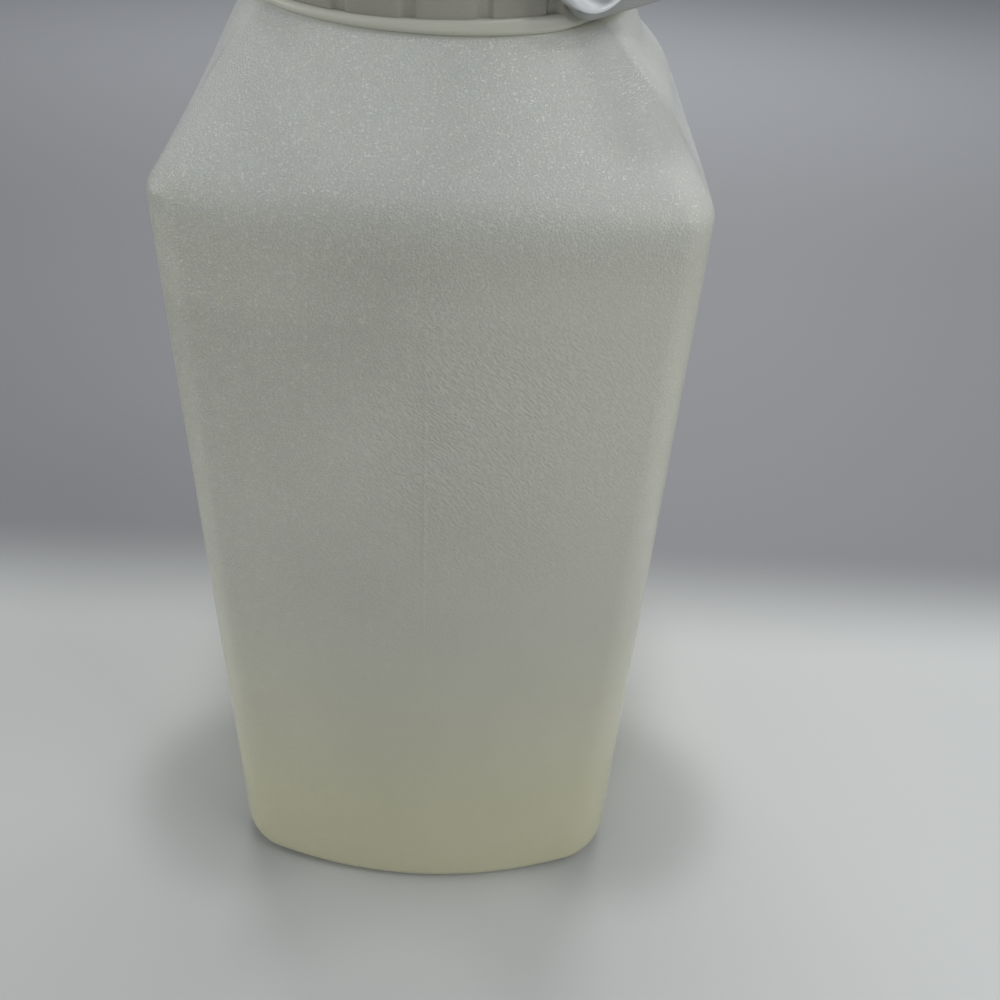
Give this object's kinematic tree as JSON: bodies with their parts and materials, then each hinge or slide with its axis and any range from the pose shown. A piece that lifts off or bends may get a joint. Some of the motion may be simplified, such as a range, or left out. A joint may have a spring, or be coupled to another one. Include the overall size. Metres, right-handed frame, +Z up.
{
  "type": "square plastic jug with screw cap",
  "caption": "Square translucent plastic jug with swelling front and back, a drawn-in shoulder, a collar and a ribbed screw cap with a side tab under a round stud.",
  "frame": {"origin": "middle of the flat base, under the axis of the neck and cap", "axes": "+Z up along the axis of the neck; -Y out of the front face, which carries the parting seam; +X to the right seen from the front"},
  "size_m": [0.1112, 0.1308, 0.2543],
  "materials": {
    "jug_body": "milky translucent blow-moulded plastic with a fine leather grain",
    "screw_cap": "satin moulded grey",
    "side_tab": "satin moulded grey",
    "round_stud": "glossy white"
  },
  "bodies": {
    "root": {"jug_body": "jug_body", "screw_cap": "screw_cap", "side_tab": "side_tab", "round_stud": "round_stud"}
  },
  "joints": []
}
